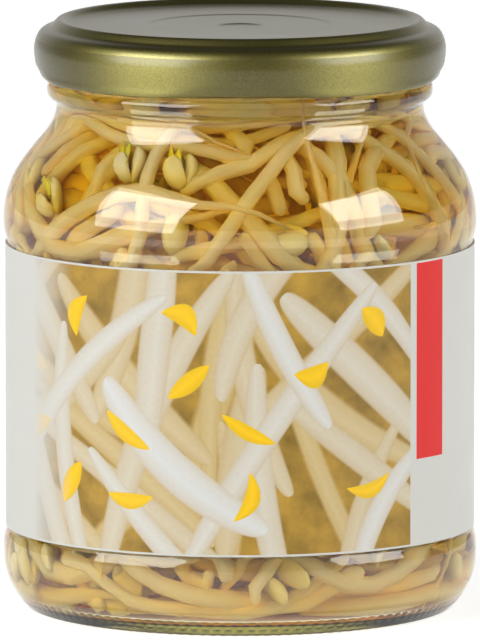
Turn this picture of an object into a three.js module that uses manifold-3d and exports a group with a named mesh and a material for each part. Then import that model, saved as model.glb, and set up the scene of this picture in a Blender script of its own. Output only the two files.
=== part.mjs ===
// A glass jar of bean sprouts in brine, with a paper wrap label and a steel twist-off lid.
//
// Millimetres, +Z up. The origin is the middle of the jar's foot, on the plane it stands on.
// -Y is the front, where the middle of the label's print faces. All the round pieces are turned
// about Z with the same facets, so the thin gaps between them stay even.

import * as THREE from "three";
import { mergeVertices } from "three/addons/utils/BufferGeometryUtils.js";
import Module from "manifold-3d";

const wasm = await Module();
wasm.setup();

// ---------------------------------------------------------------- driving dimensions

const FACETS = 36; // sides of every turned piece
const FACET = (2 * Math.PI) / FACETS;
const WELD = 1e-4; // points closer than this are one corner

const jar = {
  panelRadius: 39.3, // the wall under the label, set back between two bumper rings
  bumperRadius: 39.95,
  wall: 2.1, // glass thickness behind the panel
  panelBottom: 13.6,
  panelTop: 63.2,
  neckRadius: 30.9,
  beadRadius: 32.45, // the ring of glass just under the lid
  finishRadius: 31.2, // the plain wall that carries the thread
  boreRadius: 28.4,
  rimTop: 97.6,
};

const thread = {
  starts: 4,
  lead: 12, // rise in one turn
  radius: 32.5,
  bed: 0.5, // how far its foot is sunk into the neck
  height: 1.5, // at its foot
  crownShare: 0.6, // its height at the crown, as a share of that at its foot
  endShare: 0.35, // how far its two ends stand out, as a share of the rest
  from: -12, // degrees past the closed lug, turning open
  to: 50,
  bottom: 91.9, // underside over a closed lug
  steps: 8,
};

const lid = {
  radius: 34.7,
  crest: 100, // top of the ring that stands on the lid
  panel: 98.95,
  bottom: 90.1,
  sheet: 0.6,
  hemRadius: 33.1, // the inside of the rolled edge
  hemTop: 91.1,
  lug: {
    nose: 31.75, // inner end of a lug
    dent: 0.5, // how far the skirt is drawn in
    lift: 0.35, // how far the lower edge is drawn up
    halfAngle: 15, // degrees
    top: 93, // the skirt is pressed below this,
    ramp: 1.5, // in full from this far down
    skirtRadius: 34.3, // here the press is the skirt's own,
    ramps: 1.2, // and this far in it is the lug's
    inside: 32, // nothing nearer the axis is pressed
  },
};

const label = {
  gap: 0.15, // paste and air between glass and paper
  paper: 0.35,
  bottom: 14.2,
  top: 62.2,
  openFacets: 2, // facets left bare at the back, where its ends almost meet
};

const brine = { gap: 0.3, layer: 0.9, level: 91.6 };

const sealBottom = 97.9;

const sprout = {
  count: 114,
  tries: 100, // lines tried for each stem, of which the clearest is kept
  seed: 23,
  stemRadius: 1.75,
  rootRadius: 0.9,
  shortest: 30,
  longest: 44,
  sides: 4,
  steps: 4, // lengths of tube in a stem
  fullFrom: 0.45, // share of its length at which a stem is at its full thickness
  bend: 0.36, // widest range of the turn at each step, in radians
  hook: [0.3, 0.8], // turn at the head
  clearance: 0.3, // between the outermost stems and the brine's layer
  layers: [0.1, 3.9], // how deep the two layers of stems lie
  headDepth: 0.7, // how much deeper the head lies, where the bean is thicker than the stem
  headShare: 0.3, // share of the length over which it goes down to that
  rootEnd: 9.6, // how deep every root ends, inside the packed middle
  rootShare: 0.34, // share of the length over which it goes down to that
  crowded: 2.3, // lines closer than this many stem radii crowd each other
  crowdPoints: 24, // lengths of line between the points that are tried for crowding
  heap: { edge: 0.6, top: 1.6, radius: 20 }, // how far they rise over the brine's level
  coreFacets: 20, // sides of the packed middle, which the stems stand out of
  sliver: 0.06, // faces thinner than this are closed up
  bean: {
    // rings past the stem's end, as [distance, half width, half height]
    rows: [
      [1.6, 3.2, 2.4],
      [5.4, 2.9, 2.1],
    ],
    cleft: 0.45, // how far the two halves part along the middle
  },
};

// ---------------------------------------------------------------- outlines, as [radius, height]

// The inside of the glass, from the middle of the floor up to the bore.
const wallRadius = jar.panelRadius - jar.wall;
const jarInside = [
  [0, 4.4],
  [20, 3.9],
  [33.0, 3.2],
  [wallRadius - 1.0, 4.9],
  [wallRadius, 8.4],
  [wallRadius, 68.0],
  [36.2, 72.2],
  [34.1, 75.6],
  [31.0, 79.3],
  [28.9, 82.6],
  [jar.boreRadius, 85.2],
];

const jarOutside = [
  [0, 2.2],
  [28, 1.2],
  [32.6, 0],
  [34.7, 0],
  [36.1, 0.6],
  [38.3, 3.4],
  [39.4, 5.6],
  [jar.bumperRadius, 9.2],
  [39.9, 12.4],
  [jar.panelRadius, jar.panelBottom],
  [jar.panelRadius, jar.panelTop],
  [39.9, 64.6],
  [39.9, 67.6],
  [38.9, 72.2],
  [36.4, 76.4],
  [32.4, 81.3],
  [31.2, 83.6],
  [jar.neckRadius, 86.0],
  [jar.beadRadius - 0.25, 87.0],
  [jar.beadRadius, 88.3],
  [jar.beadRadius - 0.25, 89.4],
  [jar.finishRadius, 90.0],
  [jar.finishRadius, 96.3],
  [30.9, 97.1],
  [30.2, jar.rimTop],
  [29.4, jar.rimTop],
  [28.8, 97.0],
  [jar.boreRadius, 96.0],
];

// ---------------------------------------------------------------- small helpers

const degrees = THREE.MathUtils.degToRad;

// A closed outline of [radius, height] points turned about Z. It starts and ends on the axis, or
// comes back to its own first point.
function turned(outline, facets = FACETS) {
  const geometry = new THREE.LatheGeometry(
    outline.map(([radius, height]) => new THREE.Vector2(radius, height)),
    facets,
  );
  return geometry.rotateX(Math.PI / 2);
}

// Shared corners of a geometry merged, so that it is one closed skin.
function welded(geometry) {
  const bare = geometry.clone();
  bare.deleteAttribute("normal");
  bare.deleteAttribute("uv");
  return mergeVertices(bare, WELD);
}

function toSolid(geometry) {
  const skin = welded(geometry);
  const made = new wasm.Manifold(
    new wasm.Mesh({
      numProp: 3,
      vertProperties: skin.attributes.position.array,
      triVerts: new Uint32Array(skin.index.array),
    }),
  );
  if (made.volume() <= 0) throw new Error("a piece's faces point inwards");
  return made;
}

// The largest connected body of a solid, without sealed pockets or loose scraps.
function largestBody(solid) {
  return solid.decompose().reduce((a, b) => (b.volume() > a.volume() ? b : a));
}

function toGeometry(solid) {
  const mesh = solid.getMesh();
  const geometry = new THREE.BufferGeometry();
  geometry.setAttribute("position", new THREE.BufferAttribute(mesh.vertProperties, 3));
  geometry.setIndex(new THREE.BufferAttribute(mesh.triVerts, 1));
  const flat = geometry.toNonIndexed();
  flat.computeVertexNormals();
  return flat;
}

// Moves every point of a geometry by place(point).
function moved(geometry, place) {
  const points = geometry.attributes.position;
  const point = new THREE.Vector3();
  for (let i = 0; i < points.count; i++) {
    point.fromBufferAttribute(points, i);
    place(point);
    points.setXYZ(i, point.x, point.y, point.z);
  }
  return geometry;
}

// An outline that starts on the axis, moved in by an inset measured square to it.
function turnedIn(outline, inset) {
  return outline.map(([radius, height], i) => {
    const [r0, z0] = outline[Math.max(i - 1, 0)];
    const [r1, z1] = outline[Math.min(i + 1, outline.length - 1)];
    const length = Math.hypot(r1 - r0, z1 - z0);
    const inner = i === 0 ? 0 : radius - (inset * (z1 - z0)) / length;
    return [inner, height + (inset * (r1 - r0)) / length];
  });
}

// ---------------------------------------------------------------- glass jar

// One start of the thread: a low ridge that climbs round the neck as the lid turns open.
function threadRidge(start) {
  const foot = jar.finishRadius - thread.bed;
  const sweep = thread.to - thread.from;
  const bar = new THREE.BoxGeometry(1, 1, 1, thread.steps, 1, 1);
  return moved(bar, (point) => {
    const turn = thread.from + sweep * (0.5 - point.x);
    const angle = degrees(start + turn);
    const atEnd = Math.abs(point.x) > 0.5 - 0.5 / thread.steps;
    const rise = (thread.radius - foot) * (atEnd ? thread.endShare : 1);
    const crown = point.y > 0;
    const radius = crown ? foot + rise : foot;
    const share = 0.5 + point.z * (crown ? thread.crownShare : 1);
    const height = thread.bottom + thread.height * share;
    point.set(
      radius * Math.cos(angle),
      radius * Math.sin(angle),
      height + (thread.lead * turn) / 360,
    );
  });
}

function makeJar() {
  const outline = [...jarOutside, ...[...jarInside].reverse()];
  let glass = toSolid(turned(outline));
  for (let i = 0; i < thread.starts; i++) {
    const start = -90 + (360 / thread.starts) * i;
    glass = glass.add(toSolid(threadRidge(start)));
  }
  return toGeometry(largestBody(glass));
}

// ---------------------------------------------------------------- label

// A strip of paper bent round the panel, on the same facets as the glass.
function makeLabel() {
  const inner = jar.panelRadius + label.gap;
  const outer = inner + label.paper;
  const first = Math.PI / 2 + (label.openFacets / 2) * FACET;
  const corners = FACETS - label.openFacets;
  const ring = [];
  for (let i = 0; i <= corners; i++) {
    const angle = first + i * FACET;
    ring.push(new THREE.Vector2(outer * Math.cos(angle), outer * Math.sin(angle)));
  }
  for (let i = corners; i >= 0; i--) {
    const angle = first + i * FACET;
    ring.push(new THREE.Vector2(inner * Math.cos(angle), inner * Math.sin(angle)));
  }
  const strip = new THREE.ExtrudeGeometry(new THREE.Shape(ring), {
    depth: label.top - label.bottom,
    bevelEnabled: false,
  });
  return strip.translate(0, 0, label.bottom);
}

// ---------------------------------------------------------------- brine

const brineOutside = [...turnedIn(jarInside, brine.gap), [jar.boreRadius - brine.gap, brine.level]];
const brineInside = [
  ...turnedIn(jarInside, brine.gap + brine.layer),
  [jar.boreRadius - brine.gap - brine.layer, brine.level],
];

// The layer of brine between the glass and the sprouts, open at its level, where they rise.
function makeBrine() {
  return turned([...brineOutside, ...[...brineInside].reverse()]);
}

// ---------------------------------------------------------------- sprouts

// The room the sprouts fill, from the middle of the floor to the middle of the top.
const room = [
  ...turnedIn(jarInside, brine.gap + brine.layer + sprout.clearance),
  [
    jar.boreRadius - brine.gap - brine.layer - sprout.clearance,
    brine.level + sprout.heap.edge,
  ],
  [sprout.heap.radius, brine.level + sprout.heap.top],
  [0, brine.level + sprout.heap.top],
];

// The packed middle of the bunch.
const coreOutline = [
  [0, 13],
  [22, 13],
  [27, 17],
  [27.4, 66],
  [20.5, 78],
  [19, 84.6],
  [0, 84.6],
];

function seededRandom(seed) {
  let state = seed >>> 0;
  return () => {
    state = (state + 0x6d2b79f5) >>> 0;
    let mixed = Math.imul(state ^ (state >>> 15), state | 1);
    mixed ^= mixed + Math.imul(mixed ^ (mixed >>> 7), mixed | 61);
    return ((mixed ^ (mixed >>> 14)) >>> 0) / 4294967296;
  };
}

// The point of the room's wall nearest to a point, and the direction into the room there.
function onWall(point) {
  const radius = Math.max(Math.hypot(point.x, point.y), 1e-6);
  let best = { distance: Infinity };
  for (let i = 1; i < room.length; i++) {
    const [r0, z0] = room[i - 1];
    const [r1, z1] = room[i];
    const dr = r1 - r0;
    const dz = z1 - z0;
    const along = ((radius - r0) * dr + (point.z - z0) * dz) / (dr * dr + dz * dz);
    const held = THREE.MathUtils.clamp(along, 0, 1);
    const r = r0 + held * dr;
    const z = z0 + held * dz;
    const distance = Math.hypot(radius - r, point.z - z);
    if (distance < best.distance) {
      const length = Math.hypot(dr, dz);
      best = { distance, r, z, inR: -dz / length, inZ: dr / length };
    }
  }
  const x = point.x / radius;
  const y = point.y / radius;
  return {
    point: new THREE.Vector3(best.r * x, best.r * y, best.z),
    inward: new THREE.Vector3(best.inR * x, best.inR * y, best.inZ),
  };
}

const fraction = (value) => value - Math.floor(value);

// The place on the room's wall below which lies a given share of its area.
function wallPlace(share, angle) {
  const areas = room.slice(1).map(([radius, height], i) => {
    const [r0, z0] = room[i];
    return ((r0 + radius) / 2) * Math.hypot(radius - r0, height - z0);
  });
  let left = share * areas.reduce((sum, area) => sum + area, 0);
  let i = 0;
  while (left > areas[i] && i < areas.length - 1) left -= areas[i++];
  const [r0, z0] = room[i];
  const [r1, z1] = room[i + 1];
  const radius = THREE.MathUtils.lerp(r0, r1, left / areas[i]);
  const height = THREE.MathUtils.lerp(z0, z1, left / areas[i]);
  return onWall(new THREE.Vector3(radius * Math.cos(angle), radius * Math.sin(angle), height));
}

// Steps along the wall from a place, turning a little at each step.
function creep(place, heading, turns, stride) {
  const places = [];
  let here = place;
  let forward = heading.clone();
  for (const turn of turns) {
    forward = forward.clone().applyAxisAngle(here.inward, turn);
    const next = onWall(here.point.clone().addScaledVector(forward, stride));
    forward = next.point.clone().sub(here.point).normalize();
    places.push(next);
    here = next;
  }
  return places;
}

// The line of one stem's middle, root first, with the direction into the room at its head.
function stemLine(index, attempt) {
  const random = seededRandom(sprout.seed + index * sprout.tries + attempt);
  // An even scatter over the wall: two steps that never fall in line.
  const share = fraction(0.5 + index * 0.7548776662466927);
  const angle = 2 * Math.PI * fraction(0.5 + index * 0.5698402909980532);
  const start = wallPlace(share, angle);
  const side = new THREE.Vector3(-Math.sin(angle), Math.cos(angle), 0);
  const up = side.clone().cross(start.inward).negate();
  const slant = Math.PI * random();
  const heading = side.multiplyScalar(Math.cos(slant)).addScaledVector(up, Math.sin(slant));
  const length = THREE.MathUtils.lerp(sprout.shortest, sprout.longest, random());
  const behind = Math.floor(sprout.steps / 2);
  const stride = length / sprout.steps;
  const bend = (random() - 0.5) * sprout.bend;
  const hook = (random() < 0.5 ? -1 : 1) * THREE.MathUtils.lerp(...sprout.hook, random());
  const ahead = Array(sprout.steps - behind).fill(bend);
  ahead[ahead.length - 1] += hook;
  const places = [
    ...creep(start, heading.clone().negate(), Array(behind).fill(-bend), stride).reverse(),
    start,
    ...creep(start, heading, ahead, stride),
  ];
  const layer = sprout.layers[index % sprout.layers.length];
  const points = places.map(({ point, inward }, i) => {
    const along = i / (places.length - 1);
    const root = THREE.MathUtils.smoothstep(1 - along, 1 - sprout.rootShare, 1);
    const head = THREE.MathUtils.smoothstep(along, 1 - sprout.headShare, 1);
    const stemDepth = sprout.stemRadius + layer + sprout.headDepth * head;
    const depth = THREE.MathUtils.lerp(stemDepth, sprout.rootEnd, root);
    return point.clone().addScaledVector(inward, depth);
  });
  return { points, inward: places[places.length - 1].inward };
}

// How much of a line runs too close to the lines already placed.
function crowding(points, placed) {
  const near = sprout.crowded * sprout.stemRadius;
  let sum = 0;
  for (const point of points) {
    for (const other of placed) {
      const distance = point.distanceTo(other);
      if (distance < near) sum += 1 - distance / near;
    }
  }
  return sum;
}

// Every stem's line, each the clearest of a few tries.
function stemLines() {
  const placed = [];
  const lines = [];
  const finePoints = (line) =>
    new THREE.CatmullRomCurve3(line.points).getPoints(sprout.crowdPoints);
  for (let i = 0; i < sprout.count; i++) {
    let best = { crowd: Infinity };
    for (let attempt = 0; attempt < sprout.tries; attempt++) {
      const line = stemLine(i, attempt);
      const crowd = crowding(finePoints(line), placed);
      if (crowd < best.crowd) best = { crowd, line };
    }
    placed.push(...finePoints(best.line));
    lines.push(best.line);
  }
  return lines;
}

// One sprout: a bar along the line, thin at its root, whose last rows swell into the bean. The
// bean's two halves stand either side of a cleft that faces out of and into the room.
function sproutBar({ points, inward }) {
  const { bean } = sprout;
  const line = new THREE.CatmullRomCurve3(points);
  const frames = line.computeFrenetFrames(sprout.steps);
  const rows = sprout.steps + bean.rows.length;
  const bar = new THREE.CylinderGeometry(1, 1, 1, sprout.sides, rows);
  const end = points[points.length - 1];
  const ahead = line.getTangentAt(1);
  const aside = inward.clone().cross(ahead).normalize();
  const out = ahead.clone().cross(aside);
  const normal = frames.normals[sprout.steps];
  const turn = -Math.atan2(normal.dot(out), normal.dot(aside));
  return moved(bar, (point) => {
    const row = Math.round((point.y + 0.5) * rows);
    if (row <= sprout.steps) {
      const swell = THREE.MathUtils.smoothstep(row / sprout.steps, 0, sprout.fullFrom);
      const radius = THREE.MathUtils.lerp(sprout.rootRadius, sprout.stemRadius, swell);
      const across = frames.binormals[row].clone().multiplyScalar(point.x * radius);
      const along = frames.normals[row].clone().multiplyScalar(point.z * radius);
      point.copy(line.getPointAt(row / sprout.steps)).add(across).add(along);
      return;
    }
    const [forward, width, height] = bean.rows[row - sprout.steps - 1];
    const across = point.x * Math.cos(turn) + point.z * Math.sin(turn);
    const along = point.z * Math.cos(turn) - point.x * Math.sin(turn);
    point.copy(end);
    point.addScaledVector(ahead, forward);
    point.addScaledVector(aside, width * along);
    point.addScaledVector(out, height * across * (1 - bean.cleft * (1 - Math.abs(along))));
  });
}

function makeSprouts() {
  const core = toSolid(turned(coreOutline, sprout.coreFacets));
  const pieces = [core];
  for (const line of stemLines()) pieces.push(toSolid(sproutBar(line)));
  // Stems that bulge past the room are pressed flat against its wall.
  const pressed = wasm.Manifold.union(pieces).intersect(toSolid(turned(room)));
  return toGeometry(largestBody(pressed).asOriginal().simplify(sprout.sliver));
}

// ---------------------------------------------------------------- lid and its seal

const lidOutside = [
  [0, lid.panel - 0.45],
  [3.1, lid.panel - 0.45],
  [3.9, lid.panel - 0.2],
  [14.8, lid.panel - 0.2],
  [15.8, lid.panel],
  [27.8, lid.panel],
  [28.9, 99.25],
  [29.6, 99.85],
  [30.3, lid.crest],
  [31.1, 99.6],
  [31.8, 98.8],
  [32.8, 98.55],
  [33.7, 98.0],
  [34.4, 96.9],
  [lid.radius, 94.8],
  [34.4, 92.0],
];

// The lower edge, rolled in on itself, and back up the inside of the skirt.
const lidInside = [
  [34.5, 90.7],
  [33.8, lid.bottom],
  [lid.hemRadius, 90.7],
  [33.6, 91.7],
  [lid.radius - lid.sheet, 94.8],
  [33.8, 96.7],
  [32.9, 97.7],
  [31.4, 98.3],
  [30.9, 98.9],
  [30.3, lid.crest - lid.sheet],
  [29.8, 99.3],
  [29.2, 98.7],
  [28.3, lid.panel - lid.sheet],
  [15.8, lid.panel - lid.sheet],
  [14.8, lid.panel - 0.2 - lid.sheet],
  [3.9, lid.panel - 0.2 - lid.sheet],
  [3.1, lid.panel - 0.45 - lid.sheet],
  [0, lid.panel - 0.45 - lid.sheet],
];

// At each lug the rolled edge is pressed in under the thread, and the skirt follows it a little.
function makeLid() {
  const { lug } = lid;
  const quarter = (2 * Math.PI) / thread.starts;
  const skin = turned([...lidOutside, ...lidInside].reverse());
  return moved(skin, (point) => {
    const radius = Math.hypot(point.x, point.y);
    if (point.z > lug.top || radius < lug.inside) return;
    const angle = Math.atan2(point.y, point.x) + Math.PI / 2;
    const off = Math.abs(angle - quarter * Math.round(angle / quarter));
    const press = Math.max(0, 1 - (off / degrees(lug.halfAngle)) ** 2);
    const low = Math.min(1, (lug.top - point.z) / lug.ramp);
    const inward = THREE.MathUtils.clamp((lug.skirtRadius - radius) / lug.ramps, 0, 1);
    const reach = THREE.MathUtils.lerp(lug.dent, lid.hemRadius - lug.nose, inward);
    const draw = reach * press * low;
    point.x *= (radius - draw) / radius;
    point.y *= (radius - draw) / radius;
    const hem = Math.max(0, (lid.hemTop - point.z) / (lid.hemTop - lid.bottom));
    point.z += lug.lift * press * hem;
  });
}

// The ring of sealing compound in the channel over the jar's rim.
function makeSeal() {
  return turned([
    [29.1, sealBottom],
    [31.0, sealBottom],
    [31.2, 98.05],
    [30.6, 98.7],
    [30.25, 99.05],
    [29.9, 98.95],
    [29.3, 98.35],
    [29.0, 98.05],
    [29.1, sealBottom],
  ]);
}

// ---------------------------------------------------------------- materials

const materials = {
  glass: new THREE.MeshStandardMaterial({
    color: 0xdde8e0,
    roughness: 0.03,
    transparent: true,
    opacity: 0.35,
  }),
  paper: new THREE.MeshStandardMaterial({ color: 0xe9dcae, roughness: 0.45 }),
  brine: new THREE.MeshStandardMaterial({
    color: 0xc79a34,
    roughness: 0.05,
    transparent: true,
    opacity: 0.5,
  }),
  sprouts: new THREE.MeshStandardMaterial({ color: 0xe6d6a4, roughness: 0.35 }),
  lacquer: new THREE.MeshStandardMaterial({ color: 0x9a925c, roughness: 0.38, metalness: 0.9 }),
  compound: new THREE.MeshStandardMaterial({ color: 0xd9d6cc, roughness: 0.6 }),
};

// ---------------------------------------------------------------- the assembly

function namedMesh(name, geometry, material) {
  const mesh = new THREE.Mesh(geometry, material);
  mesh.name = name;
  return mesh;
}

const group = new THREE.Group();
group.add(
  namedMesh("glass_jar", makeJar(), materials.glass),
  namedMesh("label", makeLabel(), materials.paper),
  namedMesh("brine", makeBrine(), materials.brine),
  namedMesh("sprouts", makeSprouts(), materials.sprouts),
  namedMesh("lid_seal", makeSeal(), materials.compound),
  namedMesh("lid", makeLid(), materials.lacquer),
);

export default group;
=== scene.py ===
"""A glass jar of bean sprouts in brine, with a paper wrap label and a twist-off lid."""

import math

import bmesh
import bpy
import numpy as np
from bpy.props import FloatProperty, FloatVectorProperty, IntProperty, PointerProperty
from mathutils import Matrix, Vector, noise


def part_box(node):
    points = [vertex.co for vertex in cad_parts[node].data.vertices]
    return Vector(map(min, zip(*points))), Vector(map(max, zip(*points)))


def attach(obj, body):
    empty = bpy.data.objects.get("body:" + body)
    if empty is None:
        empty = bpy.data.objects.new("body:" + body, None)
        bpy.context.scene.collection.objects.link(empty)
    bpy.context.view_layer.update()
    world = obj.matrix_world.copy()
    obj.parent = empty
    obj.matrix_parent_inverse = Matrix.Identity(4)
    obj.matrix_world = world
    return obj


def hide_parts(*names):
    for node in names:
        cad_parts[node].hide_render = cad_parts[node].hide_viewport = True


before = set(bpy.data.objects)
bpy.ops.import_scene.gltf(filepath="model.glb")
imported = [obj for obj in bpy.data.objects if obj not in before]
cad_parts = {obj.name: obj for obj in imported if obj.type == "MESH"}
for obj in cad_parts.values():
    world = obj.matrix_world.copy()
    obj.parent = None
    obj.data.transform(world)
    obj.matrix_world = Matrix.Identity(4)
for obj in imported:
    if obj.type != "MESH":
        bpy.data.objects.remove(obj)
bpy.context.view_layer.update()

bl_info = {
    "name": "Jar of Bean Sprouts",
    "version": (1, 0, 0),
    "blender": (4, 5, 0),
    "location": "View3D > Sidebar > Sprout Jar",
    "description": "Builds a glass jar of bean sprouts in brine with its label and twist-off lid",
    "category": "Add Mesh",
}

MM = 0.001

LABEL_LOW, LABEL_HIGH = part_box("label")
BRINE_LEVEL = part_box("brine")[1].z / MM
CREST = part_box("lid")[1].z / MM  # the top of the ring that stands on the lid
FOOT = 33.4  # the ring that the jar stands on
PANEL = 39.3  # the sunk band that the label lies in
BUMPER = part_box("glass_jar")[1].x / MM  # the widest bands, above and below the label
BORE = 28.4
RIM = 97.6
FINISH = 31.2  # the neck above the bead, which carries the thread
FINISH_LOW = 90.2
FINISH_HIGH = 96.3


def stretch(start, end, count):
    """Evenly spaced points from start to end, both included."""
    return [tuple(point) for point in np.linspace(start, end, count)]


def rounded(outline, rounds=1):
    """The outline with each of its corners cut and its two ends kept."""
    for _ in range(rounds):
        points = np.array(outline)
        early = 0.75 * points[:-1] + 0.25 * points[1:]
        late = 0.25 * points[:-1] + 0.75 * points[1:]
        cut = np.stack([early, late], axis=1).reshape(-1, 2)
        outline = [outline[0], *map(tuple, cut), outline[-1]]
    return outline


# Outlines are (radius, height) points in millimetres.

GLASS_OUTSIDE = [
    (0, 2.2), (14, 2.0), (28, 1.2), (32.2, 0.35), *stretch((FOOT, 0), (34.7, 0), 3),
    *stretch((36.0, 0.45), (38.3, 3.5), 9), (39.25, 5.3), (39.75, 7.3), (BUMPER, 9.4),
    (BUMPER - 0.05, 12.4), (39.5, 13.4), (PANEL, 14.0), (PANEL, 62.8), (39.5, 63.5),
    (BUMPER - 0.1, 64.5), (BUMPER, 66.4), (39.8, 68.4), (39.25, 71.0), (38.3, 73.6),
    (36.5, 76.4), (34.4, 79.0), (32.5, 81.2), (31.4, 83.2), (30.95, 84.9), (30.95, 86.0),
    (31.5, 86.6), (32.2, 86.95), (32.5, 87.7), (32.5, 88.7), (32.2, 89.4), (31.5, 89.8),
    *stretch((FINISH, FINISH_LOW), (FINISH, FINISH_HIGH), 15), (30.9, 97.2), (30.2, RIM),
    (29.4, RIM), (28.7, 97.1), (BORE, 96.2),
]
GLASS_INSIDE = [
    (0, 4.4), (10, 4.3), (20, 3.9), (28, 3.4), (32.6, 3.2), (34.8, 3.7), (36.2, 4.9),
    (37.0, 6.7), (37.2, 9.0), (37.2, 67.0), (37.0, 69.8), (36.1, 72.6), (34.0, 75.9),
    (31.1, 79.4), (29.1, 82.4), (BORE, 85.4), (BORE, 96.2),
]
LID_OUTSIDE = [
    (0, 98.5), (3.0, 98.5), (3.5, 98.58), (4.0, 98.75), (14.8, 98.75), (15.3, 98.83),
    (15.8, 98.95), (27.6, 98.95), (28.8, 99.25), (29.5, 99.85), (30.1, CREST + 0.05),
    (30.7, CREST), (31.3, 99.4), (31.9, 98.7), (32.7, 98.5), (33.6, 98.1), (34.3, 97.1),
    (34.7, 95.6), (34.7, 94.2), (34.5, 92.6), (34.35, 91.6), (34.4, 90.9), (34.2, 90.3),
    (33.8, 90.05), (33.35, 90.2), (33.1, 90.8), (33.3, 91.5),
]
LID_INSIDE = [
    (33.9, 92.6), (34.15, 94.4), (33.85, 96.6), (32.9, 97.7), (31.4, 98.3), (30.9, 98.9),
    (30.3, 99.4), (29.8, 99.3), (29.2, 98.7), (28.3, 98.35), (15.8, 98.35), (14.8, 98.15),
    (3.9, 98.15), (3.1, 97.9), (0, 97.9),
]
SEAL_RING = [
    (29.1, 97.95), (30.1, 97.8), (31.0, 97.95), (31.2, 98.1), (30.6, 98.7), (30.25, 99.05),
    (29.9, 98.95), (29.3, 98.35), (29.0, 98.1),
]

THREAD_STARTS = 4
THREAD_LEAD = 12.0
THREAD_TURN = (-12.0, 50.0)  # where one ridge begins and ends, in degrees past its lug
THREAD_MIDDLE = 92.65  # its height over a closed lug
THREAD_RISE = 1.25
THREAD_HALF = 0.95
FRONT = -math.pi / 2
PLASTIC = 1.32471795724  # its powers spread points evenly over a surface


# Sizes and colours


def colour_prop(name, description, default):
    return FloatVectorProperty(
        name=name, description=description, default=default, min=0, max=1, subtype="COLOR"
    )


def length_prop(name, description, default, least=0.0):
    return FloatProperty(
        name=name, description=description, default=default, min=least, unit="LENGTH"
    )


def amount_prop(name, description, default, least=0.0):
    return FloatProperty(name=name, description=description, default=default, min=least)


def count_prop(name, description, default, least=0):
    return IntProperty(name=name, description=description, default=default, min=least)


class GlassSettings(bpy.types.PropertyGroup):
    tint: colour_prop("Tint", "Colour of the light that passes one wall", (0.98, 0.99, 0.97))
    seam: length_prop("Mould Seam", "How far the two mould seams stand out", 0.07 * MM)
    ridges: count_prop("Foot Ridges", "Number of ridges round the foot", 120, 12)
    ridge_height: length_prop(
        "Ridge Height", "Height of the ridges of the foot and of the dots above them", 0.22 * MM
    )


class LabelSettings(bpy.types.PropertyGroup):
    thickness: length_prop("Thickness", "Thickness of the paper", 0.25 * MM, 0.05 * MM)
    opening: FloatProperty(
        name="Opening",
        description="Bare angle at the back between the label's two ends",
        default=math.radians(20),
        min=0.01,
        max=math.pi,
        subtype="ANGLE",
        unit="ROTATION",
    )
    paper: colour_prop("Paper", "Colour of the bare paper", (0.62, 0.60, 0.545))
    ground: colour_prop("Ground", "Colour of the print behind its blades", (0.50, 0.29, 0.04))
    stripe: colour_prop("Stripe", "Colour of the upright stripe", (0.72, 0.024, 0.018))
    petals: colour_prop("Petals", "Colour of the small printed petals", (0.93, 0.56, 0.008))


class BrineSettings(bpy.types.PropertyGroup):
    colour: colour_prop("Colour", "Colour that the brine turns light to", (0.965, 0.84, 0.02))
    density: amount_prop("Density", "How strongly each metre of brine colours light", 250)
    bubbles: count_prop("Bubbles", "Number of small bubbles that cling to the glass", 70)


class SproutSettings(bpy.types.PropertyGroup):
    count: count_prop("Count", "Number of sprouts", 330, 1)
    seed: count_prop("Seed", "Seed of every random draw", 4117)
    thickness: length_prop("Thickness", "Thickness of a full stem", 2.95 * MM, 1 * MM)
    length: length_prop("Length", "Length of a full sprout with its root", 56 * MM, 10 * MM)
    flesh: colour_prop("Flesh", "Colour of the stems", (0.72, 0.57, 0.42))
    bean: colour_prop("Bean", "Colour of the seed halves", (0.72, 0.58, 0.41))
    leaf: colour_prop("Leaf", "Colour of the first leaves", (0.85, 0.62, 0.03))


class LidSettings(bpy.types.PropertyGroup):
    lacquer: colour_prop("Lacquer", "Colour of the lacquered metal", (0.18, 0.154, 0.038))
    lug_press: length_prop("Lug Press", "How far the skirt is drawn in over a lug", 0.7 * MM)
    lug_lift: length_prop("Lug Lift", "How far the lower edge is drawn up at a lug", 0.35 * MM)


class StageSettings(bpy.types.PropertyGroup):
    distance: length_prop(
        "Camera Distance", "Level distance from the jar's axis to the camera", 2.5, 0.2
    )
    height: length_prop("Camera Height", "Height of the camera above the floor", 0.389)
    aim: length_prop("Aim", "Height on the jar's axis that the camera looks at", 48.7 * MM)
    lens: amount_prop(
        "Lens", "Focal length of the camera, in millimetres on a 36 mm sensor", 840.7, 10
    )
    box_power: amount_prop(
        "Soft Box Power", "Watts that each square metre of the two soft boxes gives out", 14.5
    )
    sheen_power: amount_prop(
        "Sheen Power", "Watts more per square metre of the boxes, seen only in sheen", 40.0
    )
    surround: amount_prop(
        "Surround", "Brightness of the studio in front of the jar and overhead", 0.05
    )
    floor_glow: amount_prop(
        "Floor Glow", "Light that the floor gives out itself, as a light table does", 0.685
    )
    floor: colour_prop("Floor", "Colour of the floor", (0.80, 0.80, 0.80))


# Meshes


def turned(outline, segments, closed=False):
    """A body turned from an outline whose ends lie on the axis, or which closes on itself."""
    pole_gap = 1e-7
    bm = bmesh.new()
    corners = [bm.verts.new((radius * MM, 0, height * MM)) for radius, height in outline]
    pairs = list(zip(corners, corners[1:]))
    if closed:
        pairs.append((corners[-1], corners[0]))
    edges = [bm.edges.new(pair) for pair in pairs]
    bmesh.ops.spin(
        bm,
        geom=corners + edges,
        cent=(0, 0, 0),
        axis=(0, 0, 1),
        angle=math.tau,
        steps=segments,
        use_merge=True,
    )
    bmesh.ops.remove_doubles(bm, verts=bm.verts, dist=pole_gap)
    facing_out(bm)
    return bm


def facing_out(bm):
    bmesh.ops.recalc_face_normals(bm, faces=bm.faces)


def as_mesh(name, bm):
    mesh = bpy.data.meshes.new(name)
    bm.to_mesh(mesh)
    bm.free()
    return mesh


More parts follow.
